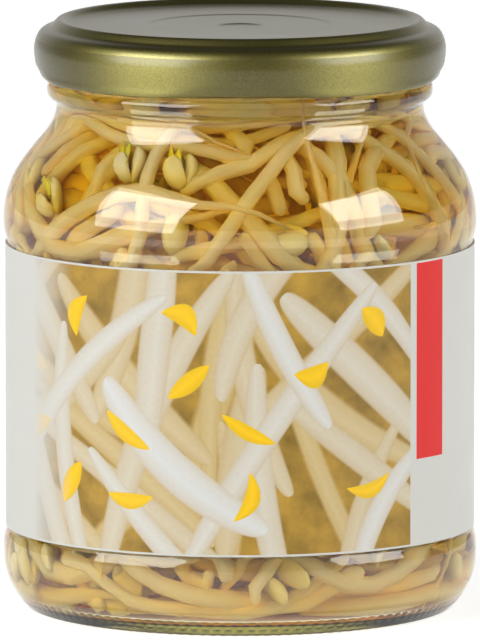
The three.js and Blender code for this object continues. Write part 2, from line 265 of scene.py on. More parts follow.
def in_scene(name, data):
    """A new object of a mesh, a light or a camera, linked to the scene."""
    obj = bpy.data.objects.new(name, data)
    bpy.context.scene.collection.objects.link(obj)
    return obj


def aimed(obj, place, target):
    """Puts a light or a camera at a place and points it at a target."""
    obj.location = place
    aim = Vector(target) - Vector(place)
    obj.rotation_euler = aim.to_track_quat("-Z", "Y").to_euler()


def piece(name, bm, materials, body, replaced=(), crease=math.pi):
    """Turns a bmesh into a piece that rides on a body and stands for CAD nodes.

    It is smooth, apart from edges that bend by more than crease.
    """
    mesh = as_mesh(name, bm)
    for material in materials:
        mesh.materials.append(material)
    mesh.shade_smooth()
    mesh.set_sharp_from_angle(angle=crease)
    obj = in_scene(name, mesh)
    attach(obj, body)
    if replaced:
        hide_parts(*replaced)
    return obj


def lengths(vectors, least=1e-9):
    """Each vector's length, with a little added, so that it can be divided by."""
    return np.linalg.norm(vectors, axis=-1, keepdims=True) + least


def unit(vectors, least=1e-9):
    return vectors / lengths(vectors, least)


def wrapped(angle, period=math.tau):
    """The angle brought to within half a period of zero."""
    return (angle + period / 2) % period - period / 2


def smooth_step(value, low, high):
    share = min(1.0, max(0.0, (value - low) / (high - low)))
    return share * share * (3 - 2 * share)


def hump(distance, half_width):
    """1 in the middle, falling smoothly to 0 at half_width away."""
    share = min(1.0, abs(distance) / half_width)
    return (1 - share * share) ** 2


# Materials


def add(tree, kind, sockets=(), **settings):
    """A new shader node. Each socket takes a value or another node's output."""
    node = tree.nodes.new(f"ShaderNode{kind}")
    for key, value in settings.items():
        setattr(node, key, value)
    for key, value in dict(sockets).items():
        if isinstance(value, bpy.types.NodeSocket):
            tree.links.new(value, node.inputs[key])
        else:
            node.inputs[key].default_value = value
    return node


def feed(node, **sockets):
    """Links other nodes' outputs to a node's sockets."""
    for key, value in sockets.items():
        node.id_data.links.new(value, node.inputs[key.replace("_", " ")])


def calc(tree, operation, first, second=0.0, third=0.0):
    """A Math node's result."""
    return add(tree, "Math", {0: first, 1: second, 2: third}, operation=operation).outputs[0]


def ramp(tree, factor, *stops):
    """A grey value that follows the factor through (position, value) stops."""
    node = add(tree, "ValToRGB", {"Fac": factor})
    elements = node.color_ramp.elements
    while len(elements) < len(stops):
        elements.new(0.5)
    for element, (position, value) in zip(elements, stops):
        element.position = position
        element.color = (value, value, value, 1)
    return node.outputs["Color"]


def opaque(colour):
    """A colour with its alpha; another node's output stays as it is."""
    return colour if isinstance(colour, bpy.types.NodeSocket) else (*colour, 1.0)


def blend(tree, factor, first, second, mode="MIX"):
    """A mix of two colours."""
    sockets = {0: factor, 6: opaque(first), 7: opaque(second)}
    return add(tree, "Mix", sockets, data_type="RGBA", blend_type=mode).outputs[2]


def toned(tree, field, low, high, first, second):
    """A colour that goes from the first to the second as the field goes from low to high."""
    return blend(tree, ramp(tree, field, (low, 0.0), (high, 1.0)), first, second)


def mixed(first, second, share):
    """A plain colour at a share of the way from the first to the second."""
    return tuple(a + (b - a) * share for a, b in zip(first, second))


def scaled(colour, factor):
    return tuple(factor * value for value in colour)


def shader(name, **sockets):
    """A new material, its node tree and its Principled shader with plain values set on it."""
    material = bpy.data.materials.new(name)
    material.use_nodes = True
    tree = material.node_tree
    bsdf = tree.nodes["Principled BSDF"]
    for key, value in sockets.items():
        bsdf.inputs[key.replace("_", " ")].default_value = value
    return material, tree, bsdf


def bumped(bsdf, height, distance, strength=1.0):
    """Feeds a height into the shader's normal; distance is in metres."""
    sockets = {"Height": height, "Distance": distance, "Strength": strength}
    feed(bsdf, Normal=add(bsdf.id_data, "Bump", sockets).outputs["Normal"])


def group(name, inputs, outputs):
    """A shader node group, its inputs and its output node. An input of None is a vector."""
    tree = bpy.data.node_groups.new(name, "ShaderNodeTree")
    for socket, value in inputs.items():
        kind = "NodeSocketVector" if value is None else "NodeSocketFloat"
        item = tree.interface.new_socket(socket, in_out="INPUT", socket_type=kind)
        if value is not None:
            item.default_value = value
    for socket in outputs:
        tree.interface.new_socket(socket, in_out="OUTPUT", socket_type="NodeSocketFloat")
    return tree, tree.nodes.new("NodeGroupInput").outputs, tree.nodes.new("NodeGroupOutput")


def placed(tree, shared, sockets):
    """The outputs of a shared node group that is placed in a material with its own values."""
    return add(tree, "Group", sockets, node_tree=shared).outputs


def grain_group():
    """Uneven tone at a broad and a fine scale, for anything cast, coated, printed or grown."""
    name = "Grain"
    if name in bpy.data.node_groups:
        return bpy.data.node_groups[name]
    inputs = {"Vector": None, "Broad Scale": 40.0, "Fine Scale": 900.0}
    tree, entry, exit_node = group(name, inputs, ["Broad", "Fine"])
    for output, detail in (("Broad", 3.0), ("Fine", 2.0)):
        scale = entry[f"{output} Scale"]
        sockets = {"Vector": entry["Vector"], "Scale": scale, "Detail": detail}
        feed(exit_node, **{output: add(tree, "TexNoise", sockets).outputs["Fac"]})
    return tree


def grained(tree, broad, fine, vector=None):
    """The grain's outputs at two scales, on Object coordinates unless a vector is given."""
    vector = vector or add(tree, "TexCoord").outputs["Object"]
    sockets = {"Vector": vector, "Broad Scale": broad, "Fine Scale": fine}
    return placed(tree, grain_group(), sockets)


def blade_group():
    """One blade on a flat print: where it lies, and the share of the way across it."""
    name = "Printed Blade"
    if name in bpy.data.node_groups:
        return bpy.data.node_groups[name]
    inputs = {
        "Vector": None,
        "Centre": None,
        "Turn": 0.0,
        "Half Length": 20.0,
        "Half Width": 3.0,
        "Bow": 0.0,
        "Point": 0.3,
        "Crispness": 8.0,
    }
    tree, entry, exit_node = group(name, inputs, ["Mask", "Across"])
    sockets = {"Vector": entry["Vector"], "Center": entry["Centre"], "Angle": entry["Turn"]}
    turned_back = add(tree, "VectorRotate", sockets, rotation_type="Z_AXIS", invert=True)
    sockets = {0: turned_back.outputs["Vector"], 1: entry["Centre"]}
    local = add(tree, "VectorMath", sockets, operation="SUBTRACT").outputs["Vector"]
    parts = add(tree, "SeparateXYZ", {"Vector": local}).outputs
    along = calc(tree, "DIVIDE", parts["X"], entry["Half Length"])
    square = calc(tree, "MULTIPLY", along, along)
    bowed = calc(tree, "MULTIPLY_ADD", square, entry["Bow"], parts["Y"])
    left = calc(tree, "MAXIMUM", calc(tree, "SUBTRACT", 1.0, square), 0.0001)
    taper = calc(tree, "POWER", left, entry["Point"])
    across = calc(tree, "DIVIDE", bowed, calc(tree, "MULTIPLY", entry["Half Width"], taper))
    inside = calc(tree, "SUBTRACT", 1.0, calc(tree, "ABSOLUTE", across))
    soft_edge = calc(tree, "MULTIPLY", inside, entry["Crispness"])
    edge = add(tree, "Clamp", {"Value": soft_edge}).outputs[0]
    ends = calc(tree, "LESS_THAN", calc(tree, "ABSOLUTE", along), 1.0)
    share = calc(tree, "MULTIPLY_ADD", across, 0.5, 0.5)
    feed(exit_node, Mask=calc(tree, "MULTIPLY", edge, ends), Across=share)
    return tree


def clear_shader(name, tint, ior, shade, absorbed=None, density=0.0, wave=None, **sockets):
    """A clear material that lets straight light through to what is inside it."""
    material, tree, bsdf = shader(
        name, Base_Color=opaque(tint), Roughness=0.0, IOR=ior, Transmission_Weight=1.0, **sockets
    )
    output = tree.nodes["Material Output"]
    straight = add(tree, "BsdfTransparent", {"Color": opaque(shade)}).outputs[0]
    shadow = add(tree, "LightPath").outputs["Is Shadow Ray"]
    surface = add(tree, "MixShader", {0: shadow, 1: bsdf.outputs[0], 2: straight})
    feed(output, Surface=surface.outputs[0])
    if density:
        volume = add(tree, "VolumeAbsorption", {"Color": opaque(absorbed), "Density": density})
        feed(output, Volume=volume.outputs[0])
    if wave:
        scale, depth = wave
        bumped(bsdf, grained(tree, scale, 6 * scale)["Broad"], depth)
    return material


# The glass jar


def foot_pattern(radius, height, angle, glass):
    """Ridges on the foot, with three rows of dots on the curve above it."""
    ring, heel, row_pitch = 34.1, 2.1, 1.05
    wave = math.cos(glass.ridges * angle)
    on_foot = hump(radius - ring, 2.0) * hump(height, 1.0)
    rows = 0.5 * (1 - math.cos(math.tau * height / row_pitch))
    on_heel = hump(height - heel, 1.6) * smooth_step(radius, 35.6, 36.4)
    return 0.5 * (1 + wave) * on_foot, max(0.0, wave) * rows * on_heel


def thread_rise(height, angle):
    """How far the thread's ridges stand out of the neck."""
    quarter = math.tau / THREAD_STARTS
    start, end = THREAD_TURN
    turn = math.degrees((angle - FRONT - math.radians(start)) % quarter) + start
    middle = THREAD_MIDDLE + THREAD_LEAD * turn / 360
    taper = smooth_step(turn, start, start + 9) * smooth_step(-turn, -end, 9 - end)
    return THREAD_RISE * hump(height - middle, THREAD_HALF) * taper


def build_glass(glass):
    """The jar itself: base with its ridged foot, label panel, shoulder, neck bead and thread."""
    segments = 480
    outline = rounded(GLASS_OUTSIDE + GLASS_INSIDE[-2::-1])
    bm = turned(outline, segments)
    seams = (math.radians(-30), math.radians(150))
    seam_half = math.tau / segments
    heel_top, dot_share, shoulder = 4.2, 0.8, 70
    base, bead_top = 32, 88  # no pattern lies below the bead within this radius
    for vert in bm.verts:
        radius = math.hypot(vert.co.x, vert.co.y)
        if radius < base * MM and vert.co.z < bead_top * MM:
            continue
        angle = math.atan2(vert.co.y, vert.co.x)
        height = vert.co.z / MM
        out = 0.0
        if height < heel_top:
            lift, dot = foot_pattern(radius / MM, height, angle, glass)
            vert.co.z += lift * glass.ridge_height
            out = dot * glass.ridge_height * dot_share
        elif FINISH_LOW < height < FINISH_HIGH and radius > 30.5 * MM:
            out = thread_rise(height, angle) * MM
        if radius > (38 * MM if height < shoulder else 30 * MM):
            out += glass.seam * max(hump(wrapped(angle - seam), seam_half) for seam in seams)
        vert.co.xy *= (radius + out) / radius
    material = clear_shader(
        "Clear Glass",
        glass.tint,
        1.5,
        (0.96, 0.97, 0.95),
        absorbed=(0.92, 0.89, 0.30),
        density=36,
        wave=(28, 0.10 * MM),
        Specular_IOR_Level=0.25,
    )
    piece("jar_glass", bm, [material], "jar", ["glass_jar"])


# The label


def spread(index, start, power):
    """The share of the way along a side at which the next evenly spread point lies."""
    return (start + index / PLASTIC**power) % 1


def motif(tree, ground, place, sockets, stops, edge, middle):
    """A printed blade over a ground, shaded across by stops from the edge's to the middle's."""
    blade = placed(tree, blade_group(), {"Vector": place, **sockets})
    shade = ramp(tree, blade["Across"], *stops)
    return blend(tree, blade["Mask"], ground, blend(tree, shade, edge, middle))


def label_print(tree, place, label, seed):
    """Pale blades that cross on a warm ground, with small yellow petals, in millimetres."""
    grain = grained(tree, 0.16, 1.4, place)
    colour = toned(tree, grain["Broad"], 0.3, 0.7, label.ground, scaled(label.ground, 0.42))
    draw = np.random.default_rng(seed)
    left, width, height = -42.5, 75.5, 48
    blades, petals = 34, 13
    blade_stops = ((0.0, 0.0), (0.16, 0.55), (0.45, 1.0), (0.8, 0.7), (1.0, 0.12))
    far_edge, near_edge = (0.49, 0.30, 0.07), (0.59, 0.49, 0.35)
    far_middle, near_middle = (0.60, 0.45, 0.20), (0.67, 0.66, 0.62)
    for index in range(blades):
        near = (index / (blades - 1)) ** 1.4
        side = 1 if draw.random() < 0.5 else -1
        centre = (left + width * spread(index, 0.5, 1), height * spread(index, 0.5, 2), 0)
        sockets = {
            "Centre": centre,
            "Turn": side * math.radians(draw.uniform(28, 84)),
            "Half Length": draw.uniform(15, 30),
            "Half Width": draw.uniform(1.9, 3.5),
            "Bow": draw.uniform(-5, 5),
            "Crispness": 3.0 + 6.0 * near,
        }
        edge = mixed(far_edge, near_edge, near)
        middle = mixed(far_middle, near_middle, near)
        colour = motif(tree, colour, place, sockets, blade_stops, edge, middle)
    petal_stops = ((0.0, 0.55), (0.5, 1.0), (1.0, 0.7))
    petal_edge = scaled(label.petals, 0.6)
    petal_low, petal_rise = 4, 40
    for index in range(petals):
        rise = petal_low + petal_rise * spread(index, 0.12, 1)
        sockets = {
            "Centre": (left + width * spread(index, 0.31, 2), rise, 0),
            "Turn": math.radians(draw.uniform(-80, 80)),
            "Half Length": draw.uniform(3.0, 5.4),
            "Half Width": draw.uniform(1.3, 2.2),
            "Bow": draw.uniform(-2.0, 2.0),
            "Point": 0.85,
        }
        colour = motif(tree, colour, place, sockets, petal_stops, petal_edge, label.petals)
    return blend(tree, 0.12, colour, grain["Fine"], "SOFT_LIGHT")


def between(tree, value, low, high):
    """1 where the value lies between low and high."""
    above = calc(tree, "GREATER_THAN", value, low)
    return calc(tree, "MULTIPLY", above, calc(tree, "LESS_THAN", value, high))


def label_paper(label, width, height, seed):
    """Printed paper: the picture in front, a stripe beside it, bare paper round the back."""
    picture_left, picture_full, picture_right = -42.0, -31.0, 31.8
    stripe_left, stripe_right, stripe_low = 33.3, 40.7, 14.6
    margin = 0.35
    material, tree, bsdf = shader("Label Paper", Roughness=0.42, IOR=1.5, Specular_IOR_Level=0.2)
    uv = add(tree, "UVMap", uv_map="print").outputs[0]
    sockets = {"Vector": uv, "Location": (-width / 2, 0, 0), "Scale": (width, height, 1)}
    place = add(tree, "Mapping", sockets).outputs[0]
    parts = add(tree, "SeparateXYZ", {"Vector": place}).outputs
    x, y = parts["X"], parts["Y"]
    sockets = {"Value": x, "From Min": picture_left, "From Max": picture_full}
    fade = add(tree, "MapRange", sockets).outputs[0]
    picture = calc(tree, "MULTIPLY", fade, calc(tree, "LESS_THAN", x, picture_right))
    above = calc(tree, "GREATER_THAN", y, stripe_low)
    stripe = calc(tree, "MULTIPLY", between(tree, x, stripe_left, stripe_right), above)
    inside = between(tree, y, margin, height - margin)
    colour = blend(tree, picture, label.paper, label_print(tree, place, label, seed))
    colour = blend(tree, stripe, colour, label.stripe)
    colour = blend(tree, inside, label.paper, colour)
    grain = grained(tree, 60.0, 1800.0)
    rough = ramp(tree, grain["Broad"], (0.3, 0.36), (0.7, 0.5))
    feed(bsdf, Base_Color=colour, Roughness=rough)
    bumped(bsdf, grain["Fine"], 0.02 * MM, 0.4)
    return material


def build_label(label, seed):
    """The paper wrapped round the jar's panel, open for a narrow gap at the back."""
    gap = 0.05
    inner = PANEL + gap
    low, high = LABEL_LOW.z / MM, LABEL_HIGH.z / MM
    turn = math.tau - label.opening
    start = math.pi / 2 + label.opening / 2
    bm = bmesh.new()
    ends = [
        bm.verts.new(Matrix.Rotation(start, 3, "Z") @ Vector((inner * MM, 0, height * MM)))
        for height, _ in stretch((low, 0), (high, 0), 7)
    ]
    edges = [bm.edges.new(pair) for pair in zip(ends, ends[1:])]
    bmesh.ops.spin(bm, geom=ends + edges, cent=(0, 0, 0), axis=(0, 0, 1), angle=turn, steps=170)
    facing_out(bm)
    if sum(face.normal.dot(face.calc_center_median()) for face in bm.faces) > 0:
        bmesh.ops.reverse_faces(bm, faces=bm.faces)
    bmesh.ops.solidify(bm, geom=bm.faces, thickness=label.thickness)
    facing_out(bm)
    layer = bm.loops.layers.uv.new("print")
    bare = (0.0, 0.5)
    for face in bm.faces:
        inward = face.normal.xy.dot(face.calc_center_median().xy) < 0
        for loop in face.loops:
            co = loop.vert.co
            angle = wrapped(math.atan2(co.y, co.x) - FRONT)
            printed = (angle / math.tau + 0.5, (co.z / MM - low) / (high - low))
            loop[layer].uv = bare if inward else printed
    width = math.tau * (inner + label.thickness / MM)
    material = label_paper(label, width, high - low, seed)
    piece("paper_label", bm, [material], "jar", ["label"], math.radians(30))


# The brine and what floats in it


def wall_radius(height, clearance=0.0):
    """Radius of the jar's inside at a height, less a clearance measured square to the wall."""
    outline = np.array(GLASS_INSIDE)[3:]
    step = 0.2
    radius = np.interp(height, outline[:, 1], outline[:, 0])
    above = np.interp(np.add(height, step), outline[:, 1], outline[:, 0])
    below = np.interp(np.subtract(height, step), outline[:, 1], outline[:, 0])
    slope = (above - below) / (2 * step)
    return radius - clearance * np.sqrt(1 + slope * slope)


def brine_outline(overlap=0.12):
    """The jar's inside pushed a little into the glass, so that no air shows between them."""
    inside = np.array([p for p in rounded(GLASS_INSIDE) if p[1] < BRINE_LEVEL])
    along = unit(np.gradient(inside, axis=0), 0)
    pushed = inside + overlap * np.stack([along[:, 1], -along[:, 0]], axis=1)
    pushed[0, 0] = 0
    level = [
        (BORE + overlap, BRINE_LEVEL + 0.5),
        (BORE - 0.5, BRINE_LEVEL + 0.1),
        (BORE - 1.6, BRINE_LEVEL),
        (0, BRINE_LEVEL),
    ]
    return [*map(tuple, pushed), *level]


def build_brine(brine, seed):
    """The brine that fills the jar to its neck, and bubbles against the glass."""
    bm = turned(brine_outline(), 240)
    material = clear_shader(
        "Brine",
        (1.0, 1.0, 1.0),
        1.34,
        (0.97, 0.96, 0.92),
        absorbed=brine.colour,
        density=brine.density,
        Specular_IOR_Level=0.15,
    )
    piece("brine_fill", bm, [material], "jar", ["brine"])
    build_bubbles(brine, seed)


def build_bubbles(brine, seed):
    """Small bubbles that cling to the inside of the glass."""
    draw = np.random.default_rng(seed + 1)
    bm = bmesh.new()
    for _ in range(brine.bubbles):
        size = 0.22 + 0.6 * draw.random() ** 3
        low_down = draw.random() < 0.35
        height = draw.uniform(5.8, 14) if low_down else draw.uniform(60, 89)
        radius = wall_radius(height, size + 0.2)
        angle = draw.uniform(0, math.tau)
        place = (radius * math.cos(angle) * MM, radius * math.sin(angle) * MM, height * MM)
        bmesh.ops.create_icosphere(
            bm, subdivisions=2, radius=size * MM, matrix=Matrix.Translation(place)
        )
    facing_out(bm)
    material = clear_shader("Bubble", (1, 1, 1), 1.25, (0.9, 0.9, 0.9))
    piece("brine_bubbles", bm, [material], "jar")


# The sprouts

NODES = 24  # points along the middle of one sprout


def creeping_lines(sprouts, draw):
    """Middle lines that creep along the glass at several depths, as (sprout, node, 3), in mm."""
    count = sprouts.count
    index = np.arange(count)
    depth = np.array([2.2, 6.2, 2.6, 6.8])[index % 4]
    lowest, highest = 5.4, 89
    heights = np.linspace(5.2, highest, 200)
    area = np.cumsum(wall_radius(heights))
    share = (0.5 + index / PLASTIC) % 1
    height = np.interp(share * area[-1], area, heights)
    angle = math.tau * ((0.5 + index / PLASTIC**2) % 1)
    heading = np.radians(draw.uniform(-38, 80, count)) + math.pi * (draw.random(count) < 0.5)
    curl = draw.normal(0, 0.028, count)
    spacing = sprouts.length / MM / (NODES - 1) * draw.uniform(0.78, 1.12, count)
    lines = np.zeros((count, NODES, 3))
    for node in range(NODES):
        radius = np.maximum(wall_radius(height, depth), 1.0)
        lines[:, node] = np.stack(
            [radius * np.cos(angle), radius * np.sin(angle), height], axis=1
        )
        angle = angle + spacing * np.cos(heading) / radius
        rise = np.sin(heading)
        height = height + spacing * rise
        out = (height < lowest) & (rise < 0) | (height > highest) & (rise > 0)
        heading = np.where(out, -heading, heading) + curl
    return lines, spacing


def stem_radii(sprouts, draw, broken):
    """Radius at each node: a thin neck under the head, the full stem, then a thinning root."""
    along = np.linspace(0, 1, NODES)
    whole = np.interp(along, [0, 0.1, 0.2, 0.58, 0.76, 1], [0.7, 0.84, 1, 0.98, 0.42, 0.18])
    stub = np.interp(along, [0, 0.5, 1], [0.9, 1, 0.94])
    full = sprouts.thickness / MM / 2 * draw.uniform(0.74, 1.22, sprouts.count)
    return full[:, None] * np.where(broken[:, None], stub, whole)


def held_apart(lines, spacing, hook):
    """Brings neighbouring nodes back to their spacing and straightens sharp bends."""
    for start in (0, 1):
        near, far = lines[:, start:-1:2], lines[:, start + 1 :: 2]
        between_them = far - near
        length = lengths(between_them)
        shift = 0.5 * (1 - spacing[:, None, None] / length) * between_them
        near += shift
        far -= shift
    for reach, least, firm in ((2, 0.99, 0.3), (6, 0.975, 0.35), (11, 0.95, 0.35)):
        apart = lines[:, reach:] - lines[:, :-reach]
        length = lengths(apart)
        wanted = reach * least * spacing[:, None, None] * np.ones_like(length)
        if reach == 2:
            wanted[:, :2] = hook[:, None, None] * spacing[:, None, None]
            lack = wanted / length - 1
            lack[:, 2:] = np.maximum(lack[:, 2:], 0)
        else:
            lack = np.maximum(wanted / length - 1, 0)
            lack[:, :2] = 0
        shift = 0.5 * firm * lack * apart
        lines[:, reach:] += shift
        lines[:, :-reach] -= shift


def pushed_apart(points, radii, owner):
    """The points, moved apart where those of different sprouts overlap."""
    order = np.argsort(points[:, 2])
    place, size, whose = points[order], radii[order], owner[order]
    shift = np.zeros_like(place)
    widest = 2 * size.max()
    for step in range(1, len(place)):
        if (place[step:, 2] - place[:-step, 2]).min() > widest:
            break
        apart = place[step:] - place[:-step]
        room = size[step:] + size[:-step]
        square = np.einsum("ij,ij->i", apart, apart)
        hit = np.nonzero((square < room * room) & (whose[step:] != whose[:-step]))[0]
        length = np.sqrt(square[hit]) + 1e-9
        push = (0.5 * (room[hit] / length - 1))[:, None] * apart[hit]
        shift[hit] -= push
        shift[hit + step] += push
    moved = np.empty_like(points)
    most = 0.8
    moved[order] = place + shift * np.minimum(1, most / lengths(shift))
    return moved


HEART_LOW, HEART_HIGH = 8.5, 88.0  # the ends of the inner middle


def heart_radius(height):
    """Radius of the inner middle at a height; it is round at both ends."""
    depth, cap = 9.8, 14.0
    nearest_end = np.minimum(height - HEART_LOW, HEART_HIGH - height)
    share = np.clip(nearest_end / cap, 0, 1)
    return (wall_radius(height) - depth) * np.sqrt(1 - (1 - share) ** 2)


def build_heart(material):
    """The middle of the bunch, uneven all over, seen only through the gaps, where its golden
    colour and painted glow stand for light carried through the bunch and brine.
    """
    heights = np.linspace(HEART_LOW, HEART_HIGH, 44)
    bm = turned(list(zip(heart_radius(heights), heights)), 96)
    for vert in bm.verts:
        lump = noise.noise(vert.co * 190.0) + 0.6 * noise.noise(vert.co * 420.0)
        vert.co -= vert.normal * max(0.0, 1.1 + 1.4 * lump) * MM
    piece("sprout_heart_painted_glow", bm, [material], "jar")


def kept_inside(points, radii):
    """Brings points back within the glass, above the base and below the brine's surface."""
    gap = 0.25
    floor = np.interp(np.hypot(points[:, 0], points[:, 1]), [0, 28, 33], [4.4, 3.5, 3.3])
    points[:, 2] = np.clip(points[:, 2], floor + radii + gap, BRINE_LEVEL - 0.3 - radii)
    most = wall_radius(points[:, 2], radii + gap)
    least = heart_radius(points[:, 2]) + radii
    radius = np.maximum(np.hypot(points[:, 0], points[:, 1]), 1e-6)
    points[:, :2] *= (np.clip(radius, least, most) / radius)[:, None]


def settle(lines, spacing, stem_sizes, loose, loose_sizes, hook):
    """Packs sprouts and loose seed halves until they lie against each other and the glass."""
    count = len(lines)
    radii = np.concatenate([stem_sizes.ravel(), loose_sizes])
    owner = np.concatenate([np.repeat(np.arange(count), NODES), count + np.arange(len(loose))])
    points = np.concatenate([lines.reshape(-1, 3), loose])
    rounds, drifting, drift = 130, 100, 0.03  # the first rounds drift out towards the glass
    for turn in range(rounds):
        points[:, :2] += drift * unit(points[:, :2]) * (turn < drifting)
        points = pushed_apart(points, radii, owner)
        stems = points[: count * NODES].reshape(count, NODES, 3)
        held_apart(stems, spacing, hook)
        held_apart(stems, spacing, hook)
        if turn % 4 == 3:
            stems[:, 2:-1] += 0.25 * (stems[:, 1:-2] + stems[:, 3:] - 2 * stems[:, 2:-1])
        kept_inside(points, radii)
    for _ in range(3):
        stems[:, 2:-1] += 0.5 * (0.5 * (stems[:, 1:-2] + stems[:, 3:]) - stems[:, 2:-1])
    kept_inside(points, radii)
    return stems, points[count * NODES :]


def framed(lines):
    """Tangent and two square directions at each node, carried along without twisting."""
    tangent = unit(np.gradient(lines, axis=1), 0)
    side = np.zeros_like(lines)
    side[:, 0] = unit(np.cross(tangent[:, 0], [0.3, 0.2, 0.93]), 0)
    for node in range(1, lines.shape[1]):
        now, before = tangent[:, node], side[:, node - 1]
        side[:, node] = unit(before - np.sum(before * now, axis=1, keepdims=True) * now, 0)
    return tangent, side, np.cross(tangent, side)


def resampled(values, shares):
    """Values of shape (sprout, node, ...) read at shares of the length from 0 to 1."""
    at = np.asarray(shares) * (values.shape[1] - 1)
    low = np.minimum(at.astype(int), values.shape[1] - 2)
    part = (at - low).reshape(1, -1, *([1] * (values.ndim - 2)))
    return values[:, low] * (1 - part) + values[:, low + 1] * part


def painted_depth_share(shape):
    """How much painted light each point takes, a lighter amber for its depth in the brine: more
    away from the glass, less at the bottom, most in the neck.
    """
    clear, full = 2.0, 5.0
    depth = wall_radius(shape[:, 2]) - np.hypot(shape[:, 0], shape[:, 1])
    share = np.clip((depth - clear) / (full - clear), 0, 1)
    share *= np.interp(shape[:, 2], (6, 18), (0.35, 1))
    return np.maximum(share, np.interp(shape[:, 2], (83, 88), (0, 0.9)))


def gathered(master, shapes, tones):
    """One bmesh of many copies of a small mesh, each with its own vertex places and tone."""
    bm = bmesh.new()
    for name in ("tone", "painted_depth_tint"):
        master.attributes.new(name, "FLOAT", "POINT")
    for shape, value in zip(shapes, tones):
        master.vertices.foreach_set("co", (shape * MM).ravel())
        # The depth tint is painted light: the lighter amber that light seen through deeper brine
        # gives.
        values = {"tone": np.full(len(shape), value), "painted_depth_tint": painted_depth_share(shape)}
        for name, field in values.items():
            master.attributes[name].data.foreach_set("value", field.astype(np.float32))
        bm.from_mesh(master)
    bpy.data.meshes.remove(master)
    return bm


def master_mesh(name, bm):
    mesh = as_mesh(name, bm)
    places = np.empty(len(mesh.vertices) * 3)
    mesh.vertices.foreach_get("co", places)
    return mesh, places.reshape(-1, 3)


# The rows of a stem's tube: where along it they lie, and how full it is there.
STEM_SHARES = [0, 0.012, 0.04, *(0.115 + 0.0875 * step for step in range(10)), 0.985, 1]
STEM_ENDS = [0.35, 0.8, *[1] * 11, 0.85, 0.35]


def stem_master(sides=7):
    """A straight closed tube whose rows stand one unit apart, with its length as UV."""
    bm = bmesh.new()
    bmesh.ops.create_circle(bm, cap_ends=True, radius=1, segments=sides)
    bmesh.ops.reverse_faces(bm, faces=bm.faces)
    edges = list(bm.edges)
    for _ in STEM_SHARES[1:]:
        grown = bmesh.ops.extrude_edge_only(bm, edges=edges)["geom"]
        ring = [item for item in grown if isinstance(item, bmesh.types.BMVert)]
        edges = [item for item in grown if isinstance(item, bmesh.types.BMEdge)]
        edges = [edge for edge in edges if all(vert in ring for vert in edge.verts)]
        bmesh.ops.translate(bm, verts=ring, vec=(0, 0, 1))
    bmesh.ops.edgeloop_fill(bm, edges=edges)
    facing_out(bm)
    layer = bm.loops.layers.uv.new("grown")
    for face in bm.faces:
        middle = face.calc_center_median()
        centre = math.atan2(middle.y, middle.x)
        for loop in face.loops:
            co = loop.vert.co
            around = centre + wrapped(math.atan2(co.y, co.x) - centre)
            row = STEM_SHARES[round(co.z)]
            loop[layer].uv = (around / math.tau + 0.5, row)
    return master_mesh("stem", bm)


def stem_shapes(lines, radii, places):
    """Vertex places of every stem, from the straight tube bent along each middle line."""
    line = resampled(lines, STEM_SHARES)
    size = resampled(radii, STEM_SHARES) * np.array(STEM_ENDS)
    _, side, across = framed(line)
    row = np.rint(places[:, 2]).astype(int)
    x, y = places[:, 0, None], places[:, 1, None]
    return line[:, row] + size[:, row, None] * (x * side[:, row] + y * across[:, row])


def bean_master():
    """Half a seed, 1 long and 1 wide each way from its middle, domed on one side."""
    bm = bmesh.new()
    bmesh.ops.create_uvsphere(bm, u_segments=10, v_segments=7, radius=1)
    for vert in bm.verts:
        co = vert.co
        co.z = co.z if co.z > 0 else 0.22 * co.z
        co.y += 0.16 * (1 - co.x * co.x)
        co.y *= 0.94 + 0.1 * co.x
    return master_mesh("seed_half", bm)


def leaf_master():
    """A small pointed leaf, bent over its length and folded along its middle."""
    bm = bmesh.new()
    bmesh.ops.create_grid(bm, x_segments=4, y_segments=2, size=1)
    for vert in bm.verts:
        co = vert.co
        width = 0.42 * (1 - co.x**4) ** 0.5 * (1 - 0.35 * co.x)
        co.z = 0.28 * (1 - co.x * co.x) + 0.3 * abs(co.y) * width
        co.y *= width + 0.02
    bmesh.ops.solidify(bm, geom=bm.faces, thickness=0.08)
    facing_out(bm)
    return master_mesh("leaf", bm)


def attribute(tree, name):
    """A number kept at each point of a mesh."""
    return add(tree, "Attribute", attribute_name=name).outputs["Fac"]


def wet_shader(name, roughness, weight, radius, scale, **sockets):
    """A new material whose shader lets light a little way in, as wet flesh does."""
    material, tree, bsdf = shader(
        name,
        Roughness=roughness,
        IOR=1.12,
        Subsurface_Weight=weight,
        Subsurface_Radius=radius,
        Subsurface_Scale=scale,
        **sockets,
    )
    bsdf.subsurface_method = "BURLEY"
    return material, tree, bsdf


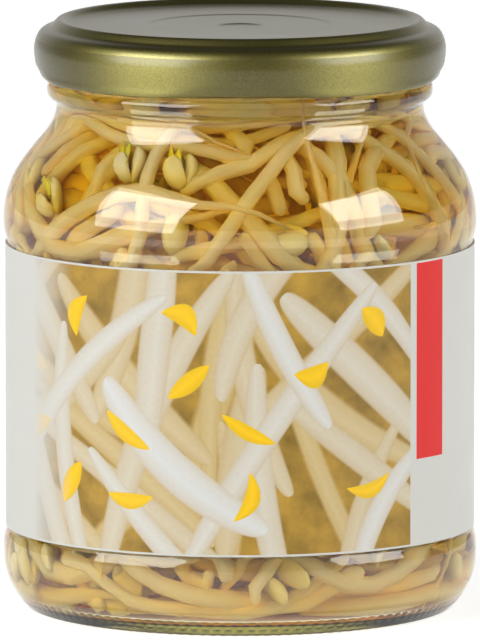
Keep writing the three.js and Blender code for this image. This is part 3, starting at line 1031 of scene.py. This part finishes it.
def flesh_material(name, flesh, root, sheen_roughness):
    """Pale wet flesh with fine fibres along it, browner towards the root, with painted amber
    light deeper in the jar.
    """
    material, tree, bsdf = wet_shader(name, sheen_roughness, 1.0, (1.2, 0.9, 0.55), 3.5 * MM)
    uv = add(tree, "UVMap", uv_map="grown").outputs[0]
    along = add(tree, "SeparateXYZ", {"Vector": uv}).outputs["Y"]
    tone = attribute(tree, "tone")
    fibres = add(tree, "Mapping", {"Vector": uv, "Scale": (7.0, 1.2, 1.0)}).outputs[0]
    sockets = {0: fibres, 1: calc(tree, "MULTIPLY", tone, 37.0)}
    moved = add(tree, "VectorMath", sockets, operation="ADD").outputs[0]
    grain = grained(tree, 1.0, 3.0, moved)
    warm = tuple(value * factor for value, factor in zip(flesh, (0.98, 0.9, 0.66)))
    colour = blend(tree, ramp(tree, tone, (0.0, 0.0), (1.0, 0.85)), flesh, warm)
    # Painted light: deeper stems take a lighter amber, standing for light seen through the brine
    # and between stems.
    colour = blend(tree, attribute(tree, "painted_depth_tint"), colour, (0.76, 0.59, 0.13))
    colour = blend(tree, ramp(tree, grain["Broad"], (0.35, 0.0), (0.75, 0.5)), colour, warm)
    rooted = ramp(tree, along, (0.6, 0.0), (1.0, 1.0))
    colour = blend(tree, calc(tree, "MULTIPLY", rooted, 0.7), colour, root)
    feed(bsdf, Base_Color=colour)
    bumped(bsdf, grain["Fine"], 0.12 * MM, 0.5)
    return material


def seed_material(name, colour_a, colour_b, scale, **sockets):
    """Seed or leaf flesh, mottled between two colours, with painted amber light deeper in the
    jar.
    """
    material, tree, bsdf = wet_shader(name, 0.34, 0.6, (0.8, 0.9, 1.0), 2.0 * MM, **sockets)
    grain = grained(tree, scale, 8 * scale)
    both = calc(tree, "ADD", grain["Broad"], attribute(tree, "tone"))
    mean = calc(tree, "MULTIPLY", both, 0.5)
    colour = toned(tree, mean, 0.25, 0.75, colour_a, colour_b)
    # Painted light: deeper seeds and leaves take a lighter amber, standing for light seen through
    # the brine.
    colour = blend(tree, attribute(tree, "painted_depth_tint"), colour, (0.76, 0.58, 0.12))
    feed(bsdf, Base_Color=colour)
    bumped(bsdf, grain["Fine"], 0.06 * MM, 0.5)
    return material


def turned_copies(places, origins, axes, sizes):
    """Copies of a small mesh, each scaled and turned to its own three axes."""
    sized = places[None] * sizes[:, None, :]
    return origins[:, None] + np.einsum("nvk,nkd->nvd", sized, axes)


def build_sprouts(sprouts):
    """Stems, seed halves and first leaves, packed in the jar by one seeded rule."""
    draw = np.random.default_rng(sprouts.seed)
    count = sprouts.count
    lines, spacing = creeping_lines(sprouts, draw)
    broken_share, margin = 0.66, 0.12
    broken = draw.random(count) < broken_share
    radii = stem_radii(sprouts, draw, broken)
    headed = ~broken
    sizes = radii + margin
    sizes[headed, :2] = 2.7, 2.0  # room for the seed on the head
    hook = np.where(headed, draw.uniform(1.25, 1.9, count), 1.98)
    loose_count = 64
    low_down = loose_count // 2
    height = draw.uniform(6, 88, loose_count)
    height[:low_down] = draw.uniform(5, 14, low_down)
    turn = draw.uniform(0, math.tau, loose_count)
    radius = wall_radius(height, 2.6)
    loose = np.stack([radius * np.cos(turn), radius * np.sin(turn), height], axis=1)
    loose_sizes = draw.uniform(1.9, 2.3, loose_count)
    lines, loose = settle(lines, spacing, sizes, loose, loose_sizes, hook)

    mesh, places = stem_master()
    stems = gathered(mesh, stem_shapes(lines, radii, places), draw.random(count))
    flesh = flesh_material("Sprout Flesh", sprouts.flesh, (0.55, 0.36, 0.13), 0.3)
    piece("sprout_stems", stems, [flesh], "jar", ["sprouts"])
    # The middle's golden colour and glow are painted light: a painted glow for light carried
    # through the bunch and brine into the gaps.
    packed = seed_material(
        "Packed Middle Painted Glow",
        (0.85, 0.55, 0.12),
        (0.74, 0.42, 0.06),
        120.0,
        Emission_Color=(0.80, 0.64, 0.04, 1),
        Emission_Strength=0.36,
    )
    build_heart(packed)

    heads = np.nonzero(headed)[0]
    out = unit(lines[heads, 0] - lines[heads, 1])
    twist = unit(np.cross(out, draw.normal(size=(len(heads), 3))))
    build_seeds(sprouts, draw, lines[heads, 0], out, twist, loose)


def build_seeds(sprouts, draw, heads, out, twist, loose):
    """Two seed halves on each head with leaves between them, and single halves lying loose."""
    count = len(heads)
    across = np.cross(out, twist)
    ahead, apart, opening = 1.2, 0.25, 1.6
    mesh, places = bean_master()
    shapes = []
    for side in (1, -1):
        splay = draw.uniform(0.05, 0.45, count)[:, None]
        length = unit(out + side * splay * twist)
        dome = unit(side * twist - np.sum(side * twist * length, axis=1, keepdims=True) * length)
        axes = np.stack([length, np.cross(dome, length), dome], axis=1)
        ranges = ((3.2, 3.8), (2.2, 2.7), (1.7, 2.2))  # half length, half width and height
        size = np.stack([draw.uniform(*limits, count) for limits in ranges], axis=1)
        origin = heads + ahead * out + side * (apart + opening * splay) * twist
        shapes.append(turned_copies(places, origin, axes, size))
    axis = unit(draw.normal(size=(len(loose), 3)))
    width = unit(np.cross(axis, draw.normal(size=(len(loose), 3))))
    axes = np.stack([axis, width, np.cross(axis, width)], axis=1)
    size = draw.uniform(0.9, 1.08, (len(loose), 1)) * np.array([3.4, 2.3, 2.0])
    shapes.append(turned_copies(places, loose, axes, size))
    material = seed_material("Seed Halves", sprouts.bean, (0.80, 0.60, 0.26), 350.0)
    grown_piece("sprout_beans", draw, mesh, shapes, material)

    ahead, beside = 3.6, 0.8
    mesh, places = leaf_master()
    chosen = draw.random(count) < 0.5
    shapes = []
    for side in (1, -1):
        length = unit(out + side * draw.uniform(0.05, 0.35, (count, 1)) * across)
        width = unit(np.cross(twist, length))
        axes = np.stack([length, width, np.cross(length, width)], axis=1)
        size = draw.uniform(0.8, 1.2, (count, 1)) * np.array([2.8, 2.2, 2.0])
        origin = heads + ahead * out + side * beside * across
        shapes.append(turned_copies(places, origin, axes, size)[chosen])
    material = seed_material("First Leaves", sprouts.leaf, (0.62, 0.55, 0.05), 500.0)
    grown_piece("sprout_leaves", draw, mesh, shapes, material)


def grown_piece(name, draw, mesh, shapes, material):
    """A piece of many copies of a small mesh, kept inside the jar, each with a drawn tone."""
    shapes = pressed_in(np.concatenate(shapes))
    copies = gathered(mesh, shapes, draw.random(len(shapes)))
    piece(name, copies, [material], "jar")


def pressed_in(shapes):
    """Vertices that would reach into the glass, the base or the air, brought back."""
    points = shapes.reshape(-1, 3).copy()
    kept_inside(points, np.zeros(len(points)))
    return points.reshape(shapes.shape)


# The lid


def lid_material(lid, name, roughness, drawn=0.0):
    """Satin gold lacquer over metal, with a fine speckle; drawn metal sheens up and down."""
    material, tree, bsdf = shader(
        name,
        Metallic=1.0,
        Roughness=roughness,
        Anisotropic=drawn,
        Anisotropic_Rotation=0.25,
        Coat_Weight=0.7,
        Coat_Roughness=0.24,
    )
    grain = grained(tree, 30.0, 4200.0)
    colour = toned(tree, grain["Fine"], 0.36, 0.64, scaled(lid.lacquer, 0.74), lid.lacquer)
    low, high = roughness - 0.03, roughness + 0.03
    rough = ramp(tree, grain["Broad"], (0.3, low), (0.7, high))
    feed(bsdf, Base_Color=colour, Roughness=rough)
    bumped(bsdf, grain["Fine"], 0.015 * MM, 0.5)
    return material


def build_lid(lid):
    """The pressed lid with its crest ring, button panel, rolled edge and four lugs."""
    outline = rounded(LID_OUTSIDE + LID_INSIDE, 2)
    bm = turned(outline, 288)
    quarter = math.tau / THREAD_STARTS
    hem_low, hem_top, hem, nose = 90.05, 91.1, 33.1, 31.75
    arch, arch_half, ramp_height, play = 2.6, math.radians(27), 2.2, 0.3
    lug_half, lug_inside, lug_outside, lug_blend = math.radians(18.75), 32, 34.3, 1.2
    for vert in bm.verts:
        radius = math.hypot(vert.co.x, vert.co.y) / MM
        height = vert.co.z / MM
        if height > hem_low + arch + 0.4 or radius < lug_inside:
            continue
        angle = wrapped(math.atan2(vert.co.y, vert.co.x) - FRONT, quarter)
        press = hump(angle, arch_half) ** 0.5
        low = smooth_step(hem_low + arch * press + play - height, 0, ramp_height)
        inward = smooth_step(lug_outside - radius, 0, lug_blend)
        lug = (hem - nose) * hump(angle, lug_half)
        draw_in = (lid.lug_press / MM * press * (1 - inward) + lug * inward) * low
        vert.co.xy *= (radius - draw_in) / radius
        lowest = max(0.0, (hem_top - height) / (hem_top - hem_low))
        vert.co.z += lid.lug_lift * press * min(1.0, lowest)
    skirt_radius, skirt_top = 33.6, 96.9
    for face in bm.faces:
        middle = face.calc_center_median() / MM
        face.material_index = int(middle.z < skirt_top and middle.xy.length > skirt_radius)
    materials = [
        lid_material(lid, "Lid Lacquer", 0.36), lid_material(lid, "Skirt Lacquer", 0.6, 0.8)
    ]
    piece("lid_cap", bm, materials, "lid", ["lid"])


def build_seal():
    """The sealing ring in the lid's channel."""
    outline = rounded(SEAL_RING + SEAL_RING[:1])[1:-1]
    bm = turned(outline, 144, closed=True)
    material, tree, bsdf = shader("Sealing Compound", Roughness=0.6)
    grain = grained(tree, 120.0, 1500.0)
    colour = toned(tree, grain["Broad"], 0.3, 0.7, (0.78, 0.75, 0.68), (0.68, 0.65, 0.56))
    feed(bsdf, Base_Color=colour)
    bumped(bsdf, grain["Fine"], 0.03 * MM, 0.5)
    piece("lid_compound", bm, [material], "seal", ["lid_seal"])


# The stage


def soft_box(name, place, size, power, colour, sheen_only=False):
    """A rectangular light that faces the middle of the jar.

    One for sheen only lights no matt surface, whether straight or through glass, and shows
    dimmer in clear glass than in satin lacquer.
    """
    light = bpy.data.lights.new(name, "AREA")
    light.shape = "RECTANGLE"
    light.size, light.size_y = size
    light.energy = power
    light.color = colour
    if sheen_only:
        in_mirrors = 0.2  # share of the light that a sharp reflection shows
        light.use_nodes = True
        tree = light.node_tree
        rays = add(tree, "LightPath").outputs
        unscattered = calc(tree, "LESS_THAN", rays["Diffuse Depth"], 0.5)
        straight = calc(tree, "LESS_THAN", rays["Glossy Depth"], 0.5)
        dimmed = calc(tree, "MULTIPLY_ADD", straight, 1 - in_mirrors, in_mirrors)
        feed(tree.nodes["Emission"], Strength=calc(tree, "MULTIPLY", unscattered, dimmed))
    obj = in_scene(name, light)
    aimed(obj, place, (0, 0, 0.06))
    obj.visible_diffuse = obj.visible_transmission = not sheen_only


def studio_world(stage):
    """A surround that is bright low down behind the jar, and dim in front of it and overhead."""
    world = bpy.data.worlds.new("Studio")
    world.use_nodes = True
    tree = world.node_tree
    coords = add(tree, "TexCoord").outputs["Generated"]
    parts = add(tree, "SeparateXYZ", {"Vector": coords}).outputs
    factors = []
    for axis, dim, bright in (("Y", 0.35, 1.0), ("Z", 0.75, 0.3)):
        sockets = {"Value": parts[axis], "From Min": dim, "From Max": bright}
        factor = add(tree, "MapRange", sockets, interpolation_type="SMOOTHSTEP")
        factors.append(factor.outputs[0])
    lit = calc(tree, "MULTIPLY", *factors)
    behind = 0.62
    strength = calc(tree, "MULTIPLY_ADD", lit, behind - stage.surround, stage.surround)
    background = tree.nodes["Background"]
    background.inputs["Color"].default_value = (1.0, 1.0, 1.0, 1)
    feed(background, Strength=strength)
    bpy.context.scene.world = world


def build_floor(stage):
    """A pale floor that glows a little, like a light table."""
    bm = bmesh.new()
    bmesh.ops.create_circle(bm, cap_ends=True, radius=8, segments=96)
    mesh = as_mesh("floor", bm)
    material, tree, bsdf = shader(
        "Floor",
        Roughness=0.7,
        Specular_IOR_Level=0.06,
        Emission_Color=(1, 1, 1, 1),
        Emission_Strength=stage.floor_glow,
    )
    grain = grained(tree, 1.5, 300.0)
    colour = toned(tree, grain["Fine"], 0.3, 0.7, stage.floor, scaled(stage.floor, 0.97))
    feed(bsdf, Base_Color=colour)
    mesh.materials.append(material)
    floor = in_scene("floor", mesh)
    floor.location.z = -0.1 * MM


def build_stage(stage):
    """A pale floor, a soft surround, two soft boxes and the camera."""
    build_floor(stage)
    studio_world(stage)
    reach, just_behind = 3.0, 1.01
    for name, turn, lift, size in (
        ("box_left", -54, 28, (0.8, 0.66)), ("box_right", 69, 25, (0.68, 0.54))
    ):
        turn, lift = math.radians(turn), math.radians(lift)
        level = math.cos(lift)
        toward = Vector((level * math.sin(turn), -level * math.cos(turn), math.sin(lift)))
        area = size[0] * size[1] * reach * reach
        box = (toward * reach, Vector(size) * reach)
        soft_box(name, *box, stage.box_power * area, (0.93, 0.97, 1.0))
        box = [just_behind * value for value in box]
        soft_box(f"{name}_sheen", *box, stage.sheen_power * area, (0.9, 0.94, 1.0), True)

    data = bpy.data.cameras.new("camera")
    data.lens = stage.lens
    data.sensor_width = 36
    data.clip_end = 100
    camera = in_scene("camera", data)
    aimed(camera, (0, -stage.distance, stage.height), (0, 0, stage.aim))
    bpy.context.scene.camera = camera
    bpy.context.scene.view_settings.view_transform = "Standard"


# The add-on


class JAR_OT_stage(bpy.types.Operator):
    """Build the floor, the lights and the camera"""

    bl_idname = "sprout_jar.stage"
    bl_label = "Stage"

    def execute(self, context):
        build_stage(context.scene.jar_stage)
        return {"FINISHED"}


class JAR_OT_glass(bpy.types.Operator):
    """Build the glass jar"""

    bl_idname = "sprout_jar.glass"
    bl_label = "Glass Jar"

    def execute(self, context):
        build_glass(context.scene.jar_glass)
        return {"FINISHED"}


class JAR_OT_label(bpy.types.Operator):
    """Build the paper label"""

    bl_idname = "sprout_jar.label"
    bl_label = "Label"

    def execute(self, context):
        build_label(context.scene.jar_label, context.scene.jar_sprouts.seed)
        return {"FINISHED"}


class JAR_OT_brine(bpy.types.Operator):
    """Build the brine and its bubbles"""

    bl_idname = "sprout_jar.brine"
    bl_label = "Brine"

    def execute(self, context):
        build_brine(context.scene.jar_brine, context.scene.jar_sprouts.seed)
        return {"FINISHED"}


class JAR_OT_sprouts(bpy.types.Operator):
    """Build the sprouts with their seed halves and first leaves"""

    bl_idname = "sprout_jar.sprouts"
    bl_label = "Sprouts"

    def execute(self, context):
        build_sprouts(context.scene.jar_sprouts)
        return {"FINISHED"}


class JAR_OT_lid(bpy.types.Operator):
    """Build the lid and the sealing ring in it"""

    bl_idname = "sprout_jar.lid"
    bl_label = "Lid"

    def execute(self, context):
        build_lid(context.scene.jar_lid)
        build_seal()
        return {"FINISHED"}


GROUPS = {
    "jar_stage": StageSettings,
    "jar_glass": GlassSettings,
    "jar_label": LabelSettings,
    "jar_brine": BrineSettings,
    "jar_sprouts": SproutSettings,
    "jar_lid": LidSettings,
}
OPERATORS = [JAR_OT_stage, JAR_OT_glass, JAR_OT_label, JAR_OT_brine, JAR_OT_sprouts, JAR_OT_lid]


class JAR_PT_panel(bpy.types.Panel):
    """Lists the jar's sizes and colours, with a button for each group of pieces"""

    bl_idname = "JAR_PT_panel"
    bl_label = "Sprout Jar"
    bl_space_type = "VIEW_3D"
    bl_region_type = "UI"
    bl_category = "Sprout Jar"

    def draw(self, context):
        for (name, settings), operator in zip(GROUPS.items(), OPERATORS):
            box = self.layout.box()
            box.operator(operator.bl_idname)
            values = getattr(context.scene, name)
            for key in settings.__annotations__:
                box.prop(values, key)


def register():
    for name, settings in GROUPS.items():
        bpy.utils.register_class(settings)
        setattr(bpy.types.Scene, name, PointerProperty(type=settings))
    for cls in [*OPERATORS, JAR_PT_panel]:
        bpy.utils.register_class(cls)


def unregister():
    for cls in [JAR_PT_panel, *reversed(OPERATORS)]:
        bpy.utils.unregister_class(cls)
    for name, settings in reversed(GROUPS.items()):
        delattr(bpy.types.Scene, name)
        bpy.utils.unregister_class(settings)


def main():
    """Builds the stage and every piece."""
    register()
    bpy.ops.sprout_jar.stage()
    bpy.ops.sprout_jar.glass()
    bpy.ops.sprout_jar.label()
    bpy.ops.sprout_jar.brine()
    bpy.ops.sprout_jar.sprouts()
    bpy.ops.sprout_jar.lid()


if __name__ == "__main__":
    main()
